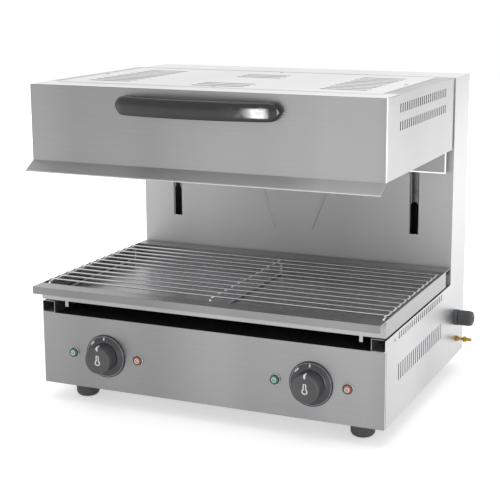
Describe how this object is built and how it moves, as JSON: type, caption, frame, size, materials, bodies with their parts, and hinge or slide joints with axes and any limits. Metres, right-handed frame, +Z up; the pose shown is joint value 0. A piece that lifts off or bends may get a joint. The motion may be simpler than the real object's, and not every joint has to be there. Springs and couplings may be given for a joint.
{
  "type": "cheese melter",
  "caption": "Electric lift-hood grill for a counter: a heated hood slides up and down on a rear column over a wire rack in a pull-out tray, with a dial for each heating zone.",
  "frame": {"origin": "centre of the overall box on the counter surface, under the feet", "axes": "+X to the right as seen from the front, +Y from the front to the back, +Z up; the dials and the handle face -Y"},
  "size_m": [0.6342, 0.4992, 0.5364],
  "materials": {
    "brushed_stainless": "brushed sheet, satin",
    "polished_stainless": "bright rolled sheet, nearly mirror",
    "dark_inner_sheet": "matt black",
    "galvanised_sheet": "dull zinc coat",
    "black_phenolic": "glossy black",
    "dial_metal": "turned dark anodised face",
    "cream_ceramic": "glazed insulator",
    "green_lens": "clear moulded lens",
    "amber_lens": "clear moulded lens",
    "lamp_ring": "bright",
    "foot_rubber": "matt",
    "chrome_wire": "bright plated wire",
    "guide_chrome": "ground and plated",
    "heater_sheath": "oxidised sheath",
    "bronze_bush": "sintered",
    "brass": "turned",
    "grey_nylon": "moulded",
    "zinc_screws": "bright zinc",
    "cast_weight": "as cast, sprayed grey",
    "steel_cable": "stranded",
    "machined_steel": "turned"
  },
  "bodies": {
    "base": {"base_front_panel": "brushed_stainless", "base_bottom_plate": "galvanised_sheet", "base_top_plate": "dark_inner_sheet", "rail_cover_screws": "zinc_screws", "power_lamps": "green_lens", "heat_lamps": "amber_lens", "lamp_rims": "lamp_ring", "terminal_block": "cream_ceramic", "column_shell": "brushed_stainless", "column_back_cover": "brushed_stainless", "column_top_cap": "brushed_stainless", "back_cover_screws": "zinc_screws", "guide_rods": "guide_chrome", "weight_guide_rods": "guide_chrome", "guide_bracket_top": "galvanised_sheet", "guide_bracket_bottom": "galvanised_sheet", "shaft_bearings": "machined_steel", "cable_gland_body": "grey_nylon", "cable_gland_nut": "grey_nylon", "bonding_stud": "brass", "cable_wraps": "steel_cable", "hood_cables": "steel_cable", "weight_cables": "steel_cable", "base_side_left": "brushed_stainless", "rail_left": "galvanised_sheet", "rail_cover_left": "brushed_stainless", "foot_front_left": "foot_rubber", "foot_rear_left": "foot_rubber", "knob_bezel_left": "dial_metal", "thermostat_left": "cream_ceramic", "base_side_right": "brushed_stainless", "rail_right": "galvanised_sheet", "rail_cover_right": "brushed_stainless", "foot_front_right": "foot_rubber", "foot_rear_right": "foot_rubber", "knob_bezel_right": "dial_metal", "thermostat_right": "cream_ceramic"},
    "hood": {"hood_front_panel": "brushed_stainless", "hood_rear_panel": "brushed_stainless", "hood_top_cover": "brushed_stainless", "hood_cover_screws": "zinc_screws", "hood_handle": "black_phenolic", "reflector": "polished_stainless", "hood_side_left": "brushed_stainless", "hood_side_right": "brushed_stainless", "heating_element_left": "heater_sheath", "heating_element_right": "heater_sheath", "carriage_left": "galvanised_sheet", "carriage_right": "galvanised_sheet", "guide_bushes": "bronze_bush", "carriage_bolts": "zinc_screws"},
    "counterweight": {"counterweight": "cast_weight"},
    "pulleys": {"pulley_shaft": "machined_steel"},
    "tray": {"tray": "polished_stainless"},
    "rack": {"rack_wires": "chrome_wire", "rack_frame_left": "chrome_wire", "rack_frame_middle": "chrome_wire", "rack_frame_right": "chrome_wire"},
    "left_knob": {"knob_left": "black_phenolic"},
    "right_knob": {"knob_right": "black_phenolic"}
  },
  "joints": [
    {"name": "hood_lift", "type": "slide", "parent": "base", "child": "hood", "axis": [0, 0, 1], "range_m": [-0.11, 0], "deforming": ["hood_cables"]},
    {"name": "counterweight_slide", "type": "slide", "parent": "base", "child": "counterweight", "axis": [0, 0, 1], "range_m": [0, 0.11], "deforming": ["weight_cables"]},
    {"name": "pulley_spin", "type": "hinge", "parent": "base", "child": "pulleys", "pos_m": [-0.0159, 0.2014, 0.482], "axis": [1, 0, 0], "range_deg": [0, 287]},
    {"name": "tray_slide", "type": "slide", "parent": "base", "child": "tray", "axis": [0, -1, 0], "range_m": [0, 0.25]},
    {"name": "rack_lift_out", "type": "slide", "parent": "tray", "child": "rack", "axis": [0, 0, 1], "range_m": [0, 0.06]},
    {"name": "left_knob_turn", "type": "hinge", "parent": "base", "child": "left_knob", "pos_m": [-0.1969, -0.2036, 0.0904], "axis": [0, 1, 0], "range_deg": [0, 270]},
    {"name": "right_knob_turn", "type": "hinge", "parent": "base", "child": "right_knob", "pos_m": [0.1651, -0.2036, 0.0904], "axis": [0, 1, 0], "range_deg": [0, 270]}
  ],
  "couplings": [
    {"joint": "counterweight_slide", "follows": "hood_lift", "ratio": -1},
    {"joint": "pulley_spin", "follows": "hood_lift", "rad_per_m": -45.455}
  ]
}
